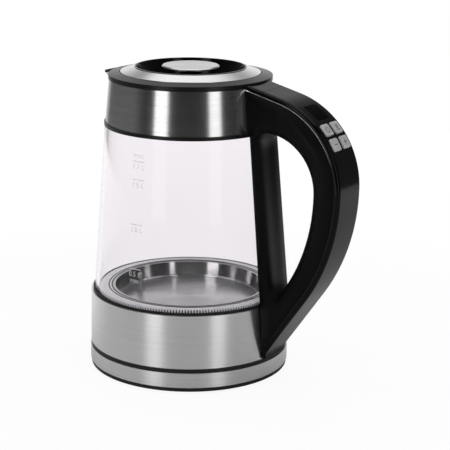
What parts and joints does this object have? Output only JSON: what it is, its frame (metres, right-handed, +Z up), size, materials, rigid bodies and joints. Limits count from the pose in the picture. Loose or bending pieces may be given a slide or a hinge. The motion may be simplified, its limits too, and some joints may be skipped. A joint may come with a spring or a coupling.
{
  "type": "electric kettle",
  "caption": "Cordless glass electric kettle with steel base band and neck, pull-off lid, loop handle with push buttons and display window, on a round power base.",
  "frame": {"origin": "on the kettle's axis, in the plane that the base's foot ring stands on", "axes": "+Z up, +X from the axis to the handle, -X to the spout, +Y to the side, right-handed"},
  "size_m": [0.2245, 0.158, 0.2393],
  "materials": {
    "foot_rubber": "matte",
    "dark_plastic": "satin",
    "brushed_steel": "brushed",
    "pan_steel": "brushed",
    "spreader_aluminium": "plain",
    "connector_plastic": "gloss",
    "contact_brass": "polished",
    "screw_steel": "polished",
    "board": "gloss",
    "switch_plastic": "satin",
    "seal_silicone": "satin",
    "clear_glass": "clear",
    "clear_ring": "clear",
    "rim_plastic": "gloss",
    "handle_satin": "satin",
    "handle_gloss": "gloss",
    "trim_chrome": "polished",
    "button_silver": "satin silver",
    "lid_steel": "brushed"
  },
  "bodies": {
    "power_base": {"foot_ring": "foot_rubber", "base_pan": "dark_plastic", "base_band": "brushed_steel", "base_cover": "dark_plastic", "base_socket": "connector_plastic", "socket_contacts": "contact_brass", "base_screws": "screw_steel", "cord_gland": "dark_plastic"},
    "kettle": {"bottom_cover": "dark_plastic", "bottom_screws": "screw_steel", "kettle_plug": "connector_plastic", "plug_contacts": "contact_brass", "power_board": "board", "relay": "dark_plastic", "lower_band": "brushed_steel", "heater_pan": "pan_steel", "heat_spreader": "spreader_aluminium", "heating_element": "pan_steel", "thermal_cutout": "connector_plastic", "temperature_probe": "pan_steel", "pan_seal": "seal_silicone", "light_ring": "clear_ring", "glass_body": "clear_glass", "neck_liner": "dark_plastic", "collar": "brushed_steel", "top_rim": "rim_plastic", "spout_filter": "pan_steel", "handle_body": "handle_satin", "grip_trim": "trim_chrome", "handle_cover": "handle_gloss", "neck_cover": "handle_gloss", "display_window": "handle_gloss", "control_board": "board", "tact_switches": "switch_plastic", "display_block": "switch_plastic", "handle_cable": "switch_plastic", "handle_screws": "screw_steel"},
    "lid": {"lid_ring": "lid_steel", "lid_dish": "rim_plastic", "lid_plug": "rim_plastic", "lid_seal": "seal_silicone", "knob_stem": "rim_plastic", "knob_cap": "lid_steel", "lid_screws": "screw_steel"},
    "button_upper_left": {"button_upper_left": "button_silver"},
    "button_upper_right": {"button_upper_right": "button_silver"},
    "button_lower_left": {"button_lower_left": "button_silver"},
    "button_lower_right": {"button_lower_right": "button_silver"}
  },
  "joints": [
    {"name": "kettle_lift", "type": "slide", "parent": "power_base", "child": "kettle", "axis": [0, 0, 1], "range_m": [0, 0.06]},
    {"name": "lid_lift", "type": "slide", "parent": "kettle", "child": "lid", "axis": [0, 0, 1], "range_m": [0, 0.05]},
    {"name": "button_upper_left_press", "type": "slide", "parent": "kettle", "child": "button_upper_left", "axis": [-0.7455, 0, -0.6665], "range_m": [0, 0.0008], "stiffness_N_per_m": 600},
    {"name": "button_upper_right_press", "type": "slide", "parent": "kettle", "child": "button_upper_right", "axis": [-0.7455, 0, -0.6665], "range_m": [0, 0.0008], "stiffness_N_per_m": 600},
    {"name": "button_lower_left_press", "type": "slide", "parent": "kettle", "child": "button_lower_left", "axis": [-0.8535, 0, -0.521], "range_m": [0, 0.0008], "stiffness_N_per_m": 600},
    {"name": "button_lower_right_press", "type": "slide", "parent": "kettle", "child": "button_lower_right", "axis": [-0.8535, 0, -0.521], "range_m": [0, 0.0008], "stiffness_N_per_m": 600}
  ]
}
